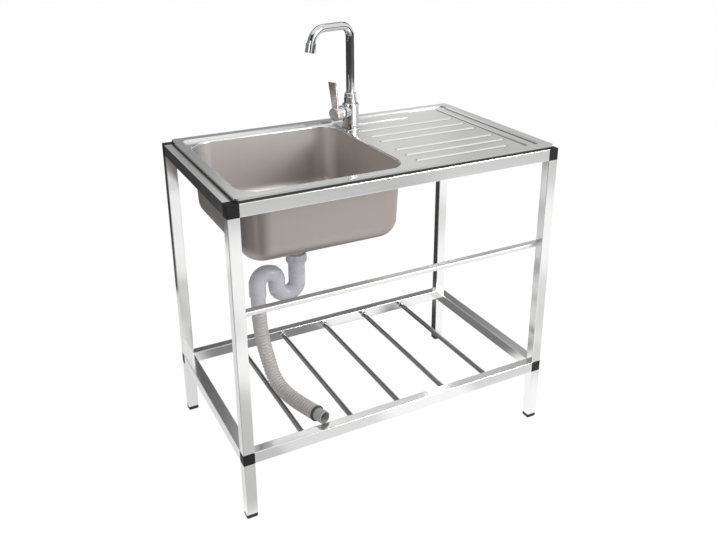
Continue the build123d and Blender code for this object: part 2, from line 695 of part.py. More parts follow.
def drain_hose():
    """Ribbed hose: a ruled skin through four circles a rib, with a smooth bore."""
    radii = route_radii(HOSE_ROUTE)
    print("hose bend radii", [round(r) for r in radii])
    path = FilletPolyline(*HOSE_ROUTE, radius=radii)
    wire = Wire(path.edges())
    length = wire.length
    ribs = int(length // HOSE_PITCH)
    pitch = length / ribs
    print("hose length", round(length, 1), "ribs", ribs)
    marks = []
    for i in range(ribs):
        s = i * pitch
        marks += [(s + 0.06 * pitch, HOSE_ROOT_R), (s + 0.34 * pitch, HOSE_R)]
        marks += [(s + 0.66 * pitch, HOSE_R), (s + 0.94 * pitch, HOSE_ROOT_R)]
    marks[0] = (0.0, HOSE_ROOT_R)
    marks[-1] = (length, HOSE_ROOT_R)
    circles = []
    for s, r in marks:
        at = wire.position_at(s, position_mode=PositionMode.LENGTH)
        along = wire.tangent_at(s, position_mode=PositionMode.LENGTH)
        circles.append(Plane(origin=at, x_dir=(1, 0, 0), z_dir=along) * Circle(r))
    skin = loft(circles, ruled=True)
    start = Plane(origin=HOSE_ROUTE[0], x_dir=(1, 0, 0), z_dir=(0, 0, -1))
    bore = sweep(start * Circle(HOSE_BORE_R), wire)
    print("hose bore volume over section x length", round(bore.volume / (math.pi * HOSE_BORE_R**2 * length), 4))
    return one(skin - bore)


def hose_cuff():
    """A ring on the hose's end and a smooth sleeve, in line with the hose's last run."""
    end = Vector(*HOSE_ROUTE[-1])
    along = end - Vector(*HOSE_ROUTE[-2])
    section = [
        (HOSE_BORE_R, 0), (CUFF_RING_R - 0.8, 0), (CUFF_RING_R, 0.8), (CUFF_RING_R, CUFF_RING_L - 1.2),
        (CUFF_RING_R - 1.2, CUFF_RING_L), (CUFF_R, CUFF_RING_L), (CUFF_R, CUFF_L - 1.4),
        (CUFF_R - 0.4, CUFF_L - 0.4), (CUFF_R - 1.2, CUFF_L), (HOSE_BORE_R, CUFF_L),
    ]
    return Plane(origin=end, x_dir=(1, 0, 0), z_dir=along) * revolved(section)


# ---- tap ------------------------------------------------------------------------------------
TAP_BASE_Z = LEDGE_Z + GASKET_T
DECK_UNDER_Z = LEDGE_Z - SHEET


def at_tap(shape):
    """Move a piece that is drawn round the origin to the tap's axis."""
    return Pos(TAP_X, TAP_Y, 0) * shape


def at_branch(shape):
    """Turn a piece drawn along +X, its origin on the tap's axis, to the branch."""
    return Pos(TAP_X, TAP_Y, BRANCH_Z) * Rot(0, 0, BRANCH_AZ) * shape


def turned_x(points):
    """A piece turned about X: its half section is drawn as (x, radius)."""
    return revolve(make_face(Plane.XY * Polyline(*points, close=True)), Axis.X)


def faucet_gasket():
    """Thin ring between the tap and the sheet."""
    return ring(TAP_X, TAP_Y, LEDGE_Z, TAP_BASE_Z, TAP_R - 0.6, TAP_HOLE_R)


def faucet_body():
    """Cast body with the spout socket on top, the cartridge housing at the side and the shank."""
    section = [
        (0, SHANK_Z), (SHANK_R, SHANK_Z), (SHANK_R, TAP_BASE_Z), (TAP_R, TAP_BASE_Z),
        (TAP_R, TAP_BASE_Z + 5), (TAP_R - 1.2, TAP_BASE_Z + 7), (TAP_R - 1.2, TAP_TOP_Z - 6),
        (TAP_R - 2.2, TAP_TOP_Z - 2), (TAP_R - 5, TAP_TOP_Z), (TAP_NECK_R, TAP_TOP_Z),
        (TAP_NECK_R, NECK_TOP_Z), (0, NECK_TOP_Z),
    ]
    body = at_tap(revolved(section))
    arm = turned_x([
        (0, 0), (0, BRANCH_R - 1.5), (BRANCH_END - 8, BRANCH_R - 1.5), (BRANCH_END - 6.5, BRANCH_R),
        (BRANCH_END - 1, BRANCH_R), (BRANCH_END, BRANCH_R - 1), (BRANCH_END, 0),
    ])
    body += at_branch(arm)
    housing = turned_x([
        (12, 0), (12, HOUSING_R), (SKIRT_X, HOUSING_R), (SKIRT_X, DOME_R + 0.05),
        (BRANCH_END + 1, DOME_R + 0.05), (BRANCH_END + 1, 0),
    ])
    body -= at_branch(housing)
    body -= disc(TAP_X, TAP_Y, SPOUT_FOOT_Z, NECK_TOP_Z + 1, SPOUT_R + SPOUT_GAP)
    body -= disc(TAP_X, TAP_Y, BRANCH_Z, SPOUT_FOOT_Z + 1, WATERWAY_R)
    for sx in (-1, 1):
        body -= disc(TAP_X + sx * INLET_DX, TAP_Y, SHANK_Z - 1, SHANK_Z + INLET_DEPTH, INLET_R)
    return one(body)


def clamp_washer():
    """Steel washer under the sheet."""
    return ring(TAP_X, TAP_Y, DECK_UNDER_Z - 2.5, DECK_UNDER_Z, CLAMP_R, SHANK_R + 0.4)


def clamp_nut():
    """Hexagon nut on the shank."""
    z1 = DECK_UNDER_Z - 2.5
    hexagon = extrude(Pos(TAP_X, TAP_Y, z1 - 9) * RegularPolygon(CLAMP_R - 0.5, 6), 9)
    return hexagon - disc(TAP_X, TAP_Y, z1 - 12, z1 + 2, SHANK_R + 0.1)


def spout_outlet():
    """Start of the spout's straight end, in the spout's own plane, and the way it points."""
    turn = math.radians(SPOUT_DROP_TURN)
    r = SPOUT_BEND + SPOUT_LEVEL + SPOUT_DROP_BEND * math.sin(turn)
    z = SPOUT_TOP_Z - SPOUT_DROP_BEND * (1 - math.cos(turn))
    return (r, z), (math.cos(turn), -math.sin(turn))


def spout_end():
    """Centre of the tube's lower end, in the spout's own plane."""
    start, way = spout_outlet()
    return (start[0] + SPOUT_TAIL * way[0], start[1] + SPOUT_TAIL * way[1])


def spout_line():
    """Centre line of the spout in its own plane: up, over, level, down."""
    a = (0, SPOUT_TOP_Z - SPOUT_BEND)
    b = (SPOUT_BEND, SPOUT_TOP_Z)
    c = (SPOUT_BEND + SPOUT_LEVEL, SPOUT_TOP_Z)
    d = spout_outlet()[0]
    k = math.sqrt(0.5)
    half = math.radians(SPOUT_DROP_TURN / 2)
    over = (SPOUT_BEND * (1 - k), a[1] + SPOUT_BEND * k)
    fall = (c[0] + SPOUT_DROP_BEND * math.sin(half), c[1] - SPOUT_DROP_BEND * (1 - math.cos(half)))
    path = Line((0, SPOUT_FOOT_Z), a) + ThreePointArc(a, over, b) + Line(b, c)
    return path + ThreePointArc(c, fall, d) + Line(d, spout_end())


def spout():
    """Bent tube with the retaining flange that sits on the body's neck."""
    path = Plane.XZ * spout_line()
    start = Plane(origin=(0, 0, SPOUT_FOOT_Z), z_dir=(0, 0, 1))
    tube = sweep(start * Circle(SPOUT_R), path) - sweep(start * Circle(SPOUT_R - SPOUT_WALL), path)
    tube += ring(0, 0, NECK_TOP_Z + 0.1, NECK_TOP_Z + SPOUT_FLANGE_T, SPOUT_FLANGE_R, SPOUT_R - 0.5)
    return one(at_tap(Rot(0, 0, SPOUT_AZ) * tube))


def spout_collar():
    """Swivel nut over the neck; its lip keeps the spout's flange down."""
    z0 = TAP_TOP_Z + 0.2
    z1 = z0 + COLLAR_H
    lip = NECK_TOP_Z + SPOUT_FLANGE_T + 0.3
    section = [
        (TAP_NECK_R + 0.1, z0), (TAP_COLLAR_R - 0.8, z0), (TAP_COLLAR_R, z0 + 0.8),
        (TAP_COLLAR_R, z0 + 16), (TAP_COLLAR_R - 1.4, z0 + 18), (TAP_COLLAR_R - 1.4, z1 - 2),
        (TAP_COLLAR_R - 3.4, z1), (SPOUT_R + SPOUT_GAP, z1), (SPOUT_R + SPOUT_GAP, lip),
        (TAP_NECK_R + 0.1, lip),
    ]
    return at_tap(revolved(section))


def aerator():
    """Screwed end piece with a jet plate, drawn upright round the tube's end."""
    z0 = -AERATOR_DROP
    z1 = z0 + AERATOR_H
    bore = SPOUT_R + 0.05
    inner = SPOUT_R - 2
    section = [
        (0, z0 + 1.5), (AERATOR_R - 2.6, z0 + 1.5), (AERATOR_R - 2.0, z0), (AERATOR_R - 0.8, z0),
        (AERATOR_R, z0 + 0.8), (AERATOR_R, z1 - 0.8), (AERATOR_R - 0.6, z1), (bore, z1),
        (bore, 0), (inner, 0), (inner, z0 + 3), (0, z0 + 3),
    ]
    piece = revolved(section)
    for count, r in ((6, 3.2), (12, 6.8)):
        for i in range(count):
            a = 2 * math.pi * i / count
            piece -= Pos(r * math.cos(a), r * math.sin(a), z0 + 2) * Cylinder(0.9, 4)
    r, z = spout_end()
    place = Rot(0, 0, SPOUT_AZ) * Pos(r, 0, z) * Rot(0, SPOUT_DROP_TURN - 90, 0)
    return one(at_tap(place * piece))


def cartridge_cap():
    """Round-nosed cap centred on the lever's pivot, screwed into the housing."""
    inner = DOME_R - DOME_WALL
    mouth = math.radians(DOME_MOUTH)
    back = math.radians(90)
    mid = (mouth + back) / 2

    def on_ball(r, a):
        return (PIVOT + r * math.cos(a), r * math.sin(a))

    outer_arc = ThreePointArc(on_ball(DOME_R, back), on_ball(DOME_R, mid), on_ball(DOME_R, mouth))
    inner_arc = ThreePointArc(on_ball(inner, mouth), on_ball(inner, mid), on_ball(inner, back))
    outline = outer_arc + Line(outer_arc @ 1, inner_arc @ 0) + inner_arc
    outline += Polyline(inner_arc @ 1, (SKIRT_X, inner), (SKIRT_X, DOME_R), outer_arc @ 0)
    return at_branch(revolve(make_face(outline), Axis.X))


def cartridge_turret():
    """Turning part of the cartridge: a slotted nose with the pin that the lever tilts on."""
    barrel_r = HOUSING_R - 0.06
    turret = turned_x([
        (13, 0), (13, barrel_r), (SKIRT_X - 0.5, barrel_r), (SKIRT_X - 0.5, TURRET_NOSE_R),
        (TURRET_NOSE, TURRET_NOSE_R), (TURRET_NOSE, 0),
    ])
    turret -= Pos(40, 0, 0) * Box(24, STEM_W + 0.6, 30)
    turret += Pos(PIVOT, 0, 0) * Rot(90, 0, 0) * Cylinder(PIN_R, 2 * TURRET_NOSE_R - 2)
    return one(at_branch(turret))


def handle_stem():
    """Flat lever on the pin, with the square end that carries the handle."""
    eye = Pos(PIVOT, 0, 0) * Rot(90, 0, 0) * Cylinder(STEM_EYE_R, STEM_W)
    arm = Pos(PIVOT + STEM_L / 2, 0, 0) * Box(STEM_L, STEM_W, STEM_W)
    stem = eye + arm
    stem -= Pos(PIVOT, 0, 0) * Rot(90, 0, 0) * Cylinder(PIN_R + PIN_GAP, STEM_W + 4)
    return one(at_branch(stem))


def handle():
    """Round hub that slides over the cap, with a flat upright blade and a square socket."""
    hollow = DOME_R + CUP_GAP
    rim_r = math.sqrt(hollow**2 - (HUB_RIM - PIVOT) ** 2)
    edge = 6.0
    a0 = math.atan2(rim_r, HUB_RIM - PIVOT)
    inner = ThreePointArc(
        (HUB_RIM, rim_r),
        (PIVOT + hollow * math.cos(a0 / 2), hollow * math.sin(a0 / 2)),
        (PIVOT + hollow, 0),
    )
    k = math.sqrt(0.5)
    nose = ThreePointArc(
        (HUB_END - edge, HUB_R), (HUB_END - edge + edge * k, HUB_R - edge + edge * k),
        (HUB_END, HUB_R - edge),
    )
    outline = inner + Line((PIVOT + hollow, 0), (HUB_END, 0)) + Line((HUB_END, 0), nose @ 1) + nose
    outline += Polyline(nose @ 0, (HUB_RIM + 2, HUB_R), (HUB_RIM, HUB_R - 0.8), (HUB_RIM, rim_r))
    hub = revolve(make_face(outline), Axis.X)
    low = Pos(BLADE_ROOT_X, 0, 4) * RectangleRounded(BLADE_ROOT_T, BLADE_ROOT_W, 2.5)
    high = Pos(BLADE_ROOT_X + BLADE_LEAN, 0, BLADE_TOP) * RectangleRounded(BLADE_T, BLADE_W, 2.0)
    blade = loft([low, high], ruled=True)
    blade = fillet(blade.faces().sort_by(Axis.Z)[-1].edges(), 1.2)
    piece = hub + (blade - Pos(PIVOT, 0, 0) * Sphere(hollow))
    socket_l = STEM_L + STEM_GAP
    socket_w = STEM_W + 2 * STEM_GAP
    piece -= Pos(PIVOT + socket_l / 2, 0, 0) * Box(socket_l, socket_w, socket_w)
    return one(at_branch(piece))


# ---- all pieces -----------------------------------------------------------------------------
def all_pieces():
    """Every piece by name."""
    pieces = {}
    for tag, (sx, sy) in CORNERS.items():
        pieces[f"upper_leg_{tag}"] = leg(sx, sy, SHELF_TOP, TOP_BLOCK_Z)
        pieces[f"lower_leg_{tag}"] = leg(sx, sy, FOOT_H, SHELF_BLOCK_Z)
        pieces[f"top_corner_{tag}"] = corner_block(sx, sy, TOP_BLOCK_Z, up=False, down=True)
        pieces[f"shelf_corner_{tag}"] = corner_block(sx, sy, SHELF_BLOCK_Z, up=True, down=True)
        pieces[f"foot_{tag}"] = foot(sx, sy)
    pieces["foot_inserts"] = foot_inserts()
    pieces["top_rail_front"] = rail_x(-1, TOP_BLOCK_Z)
    pieces["top_rail_back"] = rail_x(1, TOP_BLOCK_Z)
    pieces["top_rail_left"] = rail_y(-1, TOP_BLOCK_Z)
    pieces["top_rail_right"] = rail_y(1, TOP_BLOCK_Z)
    pieces["shelf_rail_front"] = shelf_rail_x(-1)
    pieces["shelf_rail_back"] = shelf_rail_x(1)
    pieces["shelf_rail_left"] = rail_y(-1, SHELF_BLOCK_Z)
    pieces["shelf_rail_right"] = rail_y(1, SHELF_BLOCK_Z)
    pieces["shelf_rods"] = shelf_rods()
    pieces["rod_bushes"] = rod_bushes()
    pieces["mid_rail"] = mid_rail()
    pieces["mid_rail_end_plugs"] = mid_rail_end_plugs()
    pieces["mid_rail_screws"] = mid_rail_screws()
    pieces["sink_top"] = sink_top()
    pieces["rim_seal"] = rim_seal()
    pieces["strainer_body"] = strainer_body()
    pieces["strainer_gasket"] = strainer_gasket()
    pieces["strainer_locknut"] = strainer_locknut()
    pieces["strainer_basket"] = strainer_basket()
    pieces["tailpiece"] = tailpiece()
    pieces["slip_nuts"] = group([slip_nut(NUT_LOW_Z), slip_nut(NUT_HIGH_Z)])
    pieces["trap_bend"] = trap_bend()
    pieces["hose_collar"] = hose_collar()
    pieces["drain_hose"] = drain_hose()
    pieces["hose_cuff"] = hose_cuff()
    pieces["faucet_gasket"] = faucet_gasket()
    pieces["faucet_body"] = faucet_body()
    pieces["clamp_washer"] = clamp_washer()
    pieces["clamp_nut"] = clamp_nut()
    pieces["spout"] = spout()
    pieces["spout_collar"] = spout_collar()
    pieces["aerator"] = aerator()
    pieces["cartridge_cap"] = cartridge_cap()
    pieces["cartridge_turret"] = cartridge_turret()
    pieces["handle_stem"] = handle_stem()
    pieces["handle"] = handle()
    return pieces


os.makedirs("parts", exist_ok=True)
for name, piece in all_pieces().items():
    export_step(piece, f"parts/{name}.step")
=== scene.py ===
"""Free-standing kitchen sink unit: looks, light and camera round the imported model."""
import bpy
import math
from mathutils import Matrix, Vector


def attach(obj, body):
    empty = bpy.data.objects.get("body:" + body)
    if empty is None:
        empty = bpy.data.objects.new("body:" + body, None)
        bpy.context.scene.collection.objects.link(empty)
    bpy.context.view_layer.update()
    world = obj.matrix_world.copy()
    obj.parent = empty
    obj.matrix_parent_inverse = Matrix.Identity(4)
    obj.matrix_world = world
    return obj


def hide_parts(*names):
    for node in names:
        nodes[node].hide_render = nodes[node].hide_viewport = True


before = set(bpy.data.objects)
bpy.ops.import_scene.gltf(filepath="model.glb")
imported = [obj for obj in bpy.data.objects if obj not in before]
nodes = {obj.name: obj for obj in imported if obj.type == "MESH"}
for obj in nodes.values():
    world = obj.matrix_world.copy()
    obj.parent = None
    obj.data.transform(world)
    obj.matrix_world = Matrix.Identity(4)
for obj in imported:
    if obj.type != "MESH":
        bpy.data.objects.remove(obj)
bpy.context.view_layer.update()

# ---- Camera ---------------------------------------------------------------------------------
# Stands to the left of the unit and above it, and looks down at the bowl.
# The lens and its shift are those that put the stand's edges where they are in the picture.
lens = bpy.data.cameras.new("camera")
lens.lens = 39.505
lens.sensor_width = 36.0
lens.shift_x = -0.01676
lens.shift_y = -0.09777
lens.clip_end = 60.0
camera = bpy.data.objects.new("camera", lens)
camera.location = (-0.8767, -1.70398, 1.37147)
camera.rotation_euler = (1.21164, 0.0, -0.49094)
bpy.context.scene.collection.objects.link(camera)
bpy.context.scene.camera = camera
bpy.context.scene.view_settings.view_transform = "Standard"


# ---- Drain hose -----------------------------------------------------------------------------
# Blown polyethylene hose with round ribs, pushed over the trap's outlet and held by its collar.
# It hangs from the trap, bends forwards close above the first shelf rod and ends just behind
# the front shelf rail.
class Tone:
    """A shader socket that can be calculated with: each sum or product adds its Math node."""

    def __init__(self, socket):
        self.socket = socket

    def add(self, kind, settings=None, inputs=None, output=0):
        """Any other node: its type, its settings, then the values or links of its sockets."""
        tree = self.socket.id_data
        node = tree.nodes.new(kind)
        for key, value in (settings or {}).items():
            setattr(node, key, value)
        for key, value in (inputs or {}).items():
            if isinstance(value, Tone):
                tree.links.new(value.socket, node.inputs[key])
            else:
                node.inputs[key].default_value = value
        return Tone(node.outputs[output])

    def math(self, operation, first, second):
        """A Math node on two values."""
        return self.add("ShaderNodeMath", {"operation": operation}, {0: first, 1: second})

    def __add__(self, other):
        return self.math("ADD", self, other)

    def __radd__(self, other):
        return self.math("ADD", other, self)

    def __sub__(self, other):
        return self.math("SUBTRACT", self, other)

    def __rsub__(self, other):
        return self.math("SUBTRACT", other, self)

    def __mul__(self, other):
        return self.math("MULTIPLY", self, other)

    def __rmul__(self, other):
        return self.math("MULTIPLY", other, self)

    def __gt__(self, other):
        return self.math("GREATER_THAN", self, other)

    def __lt__(self, other):
        return self.math("LESS_THAN", self, other)


def new_finish(name):
    """A material, the point on the object that is being shaded, and the material's surface node."""
    material = bpy.data.materials.new(name)
    material.use_nodes = True
    tree = material.node_tree
    place = Tone(tree.nodes.new("ShaderNodeTexCoord").outputs["Object"])
    return material, place, tree.nodes["Principled BSDF"]


def feed(node, **values):
    """Set or link the inputs of a node; an underscore stands for a space."""
    for key, value in values.items():
        socket = node.inputs[key.replace("_", " ")]
        if isinstance(value, Tone):
            node.id_data.links.new(value.socket, socket)
        else:
            socket.default_value = value


even = (1.0, 1.0, 1.0)


def grain(place, stretch, fineness=1.0):
    """Noise whose grain is drawn out: stretch is how fine it is in X, Y and Z, per metre."""
    mapped = place.add("ShaderNodeMapping", None, {"Vector": place, "Scale": stretch})
    inputs = {"Vector": mapped, "Scale": fineness, "Detail": 3.0}
    return place.add("ShaderNodeTexNoise", None, inputs)


def blend_colours(share, first, second):
    """A colour between two, by a share from 0 to 1."""
    settings = {"data_type": "RGBA"}
    return share.add("ShaderNodeMix", settings, {"Factor": share, 6: first, 7: second}, output=2)


def relief(height, strength, depth):
    """Bump from a height, its depth in metres."""
    inputs = {"Height": height, "Strength": strength, "Distance": depth}
    return height.add("ShaderNodeBump", None, inputs)


def rgb(r, g, b):
    """An opaque colour."""
    return (r, g, b, 1.0)


hose_route = [
    (-0.288, 0.0, 0.415),
    (-0.288, 0.0, 0.346),
    (-0.271, -0.003, 0.256),
    (-0.266, -0.023, 0.214),
    (-0.257, -0.061, 0.190),
    (-0.243, -0.130, 0.189),
    (-0.222, -0.196, 0.1925),
]
hose_pitch = 0.009         # from rib to rib
hose_root = 0.0170         # radius in the valleys
hose_crest = 0.0192        # radius on the ribs
hose_bore = 0.0144         # radius of the bore
bore_depth = 0.012         # how far in the bore is made at each end
crest_breadth = 0.6        # under 1, a rib's crest is broader than the valley beside it
rib_steps = 10
hose_sides = 56


def smooth_line(route, name):
    """Points of the NURBS line that a route's points pull."""
    curve = bpy.data.curves.new(name, "CURVE")
    curve.dimensions = "3D"
    curve.resolution_u = 48
    spline = curve.splines.new("NURBS")
    spline.points.add(len(route) - 1)
    for point, at in zip(spline.points, route):
        point.co = (*at, 1.0)
    spline.order_u = 3
    spline.use_endpoint_u = True
    holder = bpy.data.objects.new(name, curve)
    bpy.context.scene.collection.objects.link(holder)
    bpy.context.view_layer.update()
    sampled = bpy.data.meshes.new_from_object(holder)
    points = [v.co.copy() for v in sampled.vertices]
    bpy.data.meshes.remove(sampled)
    bpy.data.objects.remove(holder)
    return points


def place_along(points, distance):
    """The point at a distance along a line, and the line's direction there."""
    for a, b in zip(points, points[1:]):
        step = (b - a).length
        if distance <= step or b is points[-1]:
            return a + (b - a) * (distance / step), (b - a).normalized()
        distance -= step


def rib_radius(turn):
    """Outside radius over one rib, turn from 0 to 1: a narrow valley and a broad round crest."""
    wave = 0.5 - 0.5 * math.cos(2 * math.pi * turn)
    return hose_root + (hose_crest - hose_root) * wave ** crest_breadth


def ribbed_hose():
    """The hose's skin with its end faces and the start of its bore, and the line it follows."""
    line = smooth_line(hose_route, "hose_line")
    length = sum((b - a).length for a, b in zip(line, line[1:]))
    steps = round(length / hose_pitch) * rib_steps
    stations = [(bore_depth, hose_bore), (0.0, hose_bore)]
    for i in range(steps + 1):
        stations.append((length * i / steps, rib_radius((i / rib_steps) % 1.0)))
    stations += [(length, hose_bore), (length - bore_depth, hose_bore)]
    verts = []
    for distance, radius in stations:
        centre, along = place_along(line, distance)
        side = Vector((1.0, 0.0, 0.0))
        side = (side - along * side.dot(along)).normalized()
        up = along.cross(side)
        for k in range(hose_sides):
            a = 2 * math.pi * k / hose_sides
            verts.append(centre + side * (radius * math.cos(a)) + up * (radius * math.sin(a)))
    faces = []
    for i in range(len(stations) - 1):
        low = i * hose_sides
        high = low + hose_sides
        for k in range(hose_sides):
            n = (k + 1) % hose_sides
            faces.append((low + k, high + k, high + n, low + n))
    mesh = bpy.data.meshes.new("drain_hose_ribs")
    mesh.from_pydata(verts, [], faces)
    mesh.shade_smooth()
    piece = bpy.data.objects.new("drain_hose_ribs", mesh)
    bpy.context.scene.collection.objects.link(piece)
    return piece, line


hose_skin, place, surface = new_finish("hose_plastic")
cloudy = grain(place, even, 38.0)
fine = grain(place, even, 900.0)
feed(
    surface,
    Base_Color=blend_colours(cloudy, rgb(0.53, 0.51, 0.495), rgb(0.66, 0.635, 0.62)),
    Roughness=0.36 + 0.14 * cloudy,
    Normal=relief(fine, 0.25, 0.0002),
    Specular_IOR_Level=0.5,
    Subsurface_Weight=0.05,
    Subsurface_Radius=(0.004, 0.004, 0.004),
)

hose, hose_line = ribbed_hose()
hose.data.materials.append(hose_skin)
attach(hose, "stand")
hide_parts("drain_hose")


# ---- End sleeve -----------------------------------------------------------------------------
# Short smooth rubber sleeve on the hose's end, where the waste pipe goes on. It is darker than
# the hose, and the raised ring at its start is black.
def vector_math(operation, first, second=(0.0, 0.0, 0.0), output="Vector"):
    """Vector Math on points or directions; a length or a dot product is its Value."""
    settings = {"operation": operation}
    return first.add("ShaderNodeVectorMath", settings, {0: first, 1: second}, output)


def paint(material, *names):
    """Give model parts their material."""
    for name in names:
        mesh = nodes[name].data
        mesh.materials.clear()
        mesh.materials.append(material)


ring_width = 0.0062        # along the sleeve, over the ring's far edge
cuff_skin, place, surface = new_finish("cuff_rubber")
sleeve_way = (Vector(hose_route[-1]) - Vector(hose_route[-2])).normalized()
from_start = vector_math("SUBTRACT", place, hose_route[-1])
along_sleeve = vector_math("DOT_PRODUCT", from_start, tuple(sleeve_way), "Value")
on_ring = along_sleeve < ring_width
cloudy = grain(place, even, 60.0)
grey = blend_colours(cloudy, rgb(0.46, 0.455, 0.45), rgb(0.57, 0.565, 0.555))
feed(
    surface,
    Base_Color=blend_colours(on_ring, grey, rgb(0.07, 0.07, 0.07)),
    Roughness=0.45 + 0.12 * grain(place, even, 200.0),
    Normal=relief(grain(place, even, 1200.0), 0.3, 0.0002),
)
paint(cuff_skin, "hose_cuff")

# ---- Stand tubes ----------------------------------------------------------------------------
# Nearly square steel tube, satin brushed along its length and lacquered: four legs in two
# lengths each, the rails of the top and of the shelf, and the flat middle rail behind the front
# legs, whose finish is duller.
corners = ("fl", "fr", "bl", "br")
fine_across = 700.0
coarse_along = 5.0
bright_satin = 0.11
dull_satin = 0.42
tube_ways = {
    "x": ((coarse_along, fine_across, fine_across), bright_satin),
    "y": ((fine_across, coarse_along, fine_across), bright_satin),
    "z": ((fine_across, fine_across, coarse_along), bright_satin),
    "flat": ((coarse_along, fine_across, fine_across), dull_satin),
}
tubes = {"x": [], "y": [], "z": [], "flat": ["mid_rail"]}
for tier in ("top", "shelf"):
    tubes["x"] += [f"{tier}_rail_front", f"{tier}_rail_back"]
    tubes["y"] += [f"{tier}_rail_left", f"{tier}_rail_right"]
for corner in corners:
    tubes["z"] += [f"upper_leg_{corner}", f"lower_leg_{corner}"]
for way, (stretch, satin) in tube_ways.items():
    brushed, place, surface = new_finish(f"brushed_tube_{way}")
    streaks = grain(place, stretch)
    patches = grain(place, even, 9.0)
    feed(
        surface,
        Base_Color=blend_colours(streaks, rgb(0.86, 0.86, 0.855), rgb(0.94, 0.94, 0.935)),
        Metallic=0.95,
        Roughness=satin + 0.06 * streaks + 0.03 * patches,
        Normal=relief(streaks, 0.04, 0.0001),
    )
    paint(brushed, *tubes[way])

# ---- Corner blocks and plugs ----------------------------------------------------------------
# Glass-filled black nylon mouldings that are knocked into the tubes: the corner blocks, the
# threaded plugs that take the feet, and the end plugs of the middle rail.
black, place, surface = new_finish("black_plastic")
spark = grain(place, even, 1500.0)
worn = grain(place, even, 25.0)
feed(
    surface,
    Base_Color=blend_colours(worn, rgb(0.008, 0.008, 0.008), rgb(0.016, 0.016, 0.016)),
    Roughness=0.42 + 0.2 * worn,
    Specular_IOR_Level=0.3,
    Normal=relief(spark, 0.35, 0.0003),
)
for corner in corners:
    paint(black, f"top_corner_{corner}", f"shelf_corner_{corner}")
paint(black, "foot_inserts", "mid_rail_end_plugs")


# ---- Levelling feet -------------------------------------------------------------------------
# Each foot is a pad of the same black plastic on a threaded steel stud, and screws into the plug
# in its leg.
def coordinate(point, axis):
    """X, Y or Z of a point or a direction."""
    return point.add("ShaderNodeSeparateXYZ", None, {"Vector": point}, output=axis)


pad_top = 0.0122           # height of the pad, where the stud begins
thread_pitch = 0.00125
foot_mix, place, surface = new_finish("foot_pad_and_stud")
height = coordinate(place, "Z")
stud = height > pad_top
thread = height.math("PINGPONG", height, thread_pitch / 2) * (2 / thread_pitch)
rough = grain(place, even, 1300.0)
feed(
    surface,
    Base_Color=blend_colours(stud, rgb(0.015, 0.015, 0.016), rgb(0.62, 0.62, 0.60)),
    Metallic=stud,
    Roughness=0.5 - 0.2 * stud + 0.08 * rough,
    Normal=relief(rough * (1 - stud) + thread * stud * 2, 0.5, 0.0003),
)
for corner in corners:
    paint(foot_mix, f"foot_{corner}")

# ---- Shelf rods and bushes ------------------------------------------------------------------
# Drawn tube with a dark bright-chrome plating, pushed through white nylon bushes in the front
# and back shelf rails.
rod_chrome, place, surface = new_finish("rod_chrome")
drawn = grain(place, (500.0, 8.0, 500.0))
feed(
    surface,
    Base_Color=blend_colours(drawn, rgb(0.25, 0.25, 0.255), rgb(0.36, 0.36, 0.365)),
    Metallic=1.0,
    Roughness=0.10 + 0.10 * drawn,
)
paint(rod_chrome, "shelf_rods")

white_nylon, place, surface = new_finish("white_nylon")
milky = grain(place, even, 120.0)
feed(
    surface,
    Base_Color=blend_colours(milky, rgb(0.70, 0.70, 0.68), rgb(0.80, 0.80, 0.78)),
    Roughness=0.35 + 0.1 * milky,
    Normal=relief(milky, 0.1, 0.0002),
)
paint(white_nylon, "rod_bushes")

# ---- Middle rail screws ---------------------------------------------------------------------
# Steel screws with a bright zinc plating. One through each end of the middle rail holds it to
# the front legs.
zinc, place, surface = new_finish("bright_zinc")
plating = grain(place, even, 300.0)
feed(
    surface,
    Base_Color=blend_colours(plating, rgb(0.55, 0.56, 0.58), rgb(0.70, 0.70, 0.70)),
    Metallic=1.0,
    Roughness=0.22 + 0.15 * plating,
    Normal=relief(plating, 0.1, 0.0001),
)
paint(zinc, "mid_rail_screws")

# ---- Sink top -------------------------------------------------------------------------------
# One sheet of stainless steel, deep drawn and pressed, with a fine linen-like satin on the deck
# and vertical drawing marks in the bowl. The bowl's outside is painted darker as shade, and so is
# the bowl's inside towards its bottom.
deck_level = 0.7985        # the deck lies above it, the bowl below
# painted shade: between these heights the bowl grows lighter upwards and darker towards its bottom
painted_shade_below = 0.640         # from here up the bowl's walls grow lighter
painted_shade_ends_above = 0.760
bowl_middle = (-0.179, 0.0, 0.700)
steel, place, surface = new_finish("satin_stainless")
height = coordinate(place, "Z")
facing = place.add("ShaderNodeNewGeometry", output="Normal")
from_middle = vector_math("SUBTRACT", place, bowl_middle)
outward = vector_math("DOT_PRODUCT", facing, from_middle, "Value")
in_bowl = height < deck_level
# painted shade: the bowl's outside, facing away from the bowl's middle, gets a darker colour
painted_shade_outside = in_bowl * (outward > 0.0)
deck_marks = grain(place, (12.0, 900.0, 900.0))
bowl_marks = grain(place, (700.0, 700.0, 10.0))
marks = in_bowl * bowl_marks + (1 - in_bowl) * deck_marks
patches = grain(place, even, 7.0)
smooth = {"interpolation_type": "SMOOTHSTEP"}
unshaded_share = height.add("ShaderNodeMapRange", smooth, {0: height, 1: painted_shade_below, 2: painted_shade_ends_above})
deck_colour = blend_colours(deck_marks, rgb(0.74, 0.74, 0.73), rgb(0.84, 0.84, 0.83))
# painted shade: a darker colour low in the bowl, the bowl's own colour higher up
painted_shade_low_tone = blend_colours(bowl_marks, rgb(0.54, 0.51, 0.49), rgb(0.60, 0.565, 0.545))
unshaded_high_tone = blend_colours(bowl_marks, rgb(0.68, 0.645, 0.62), rgb(0.74, 0.70, 0.675))
bowl_tone_with_painted_shade = blend_colours(unshaded_share, painted_shade_low_tone, unshaded_high_tone)
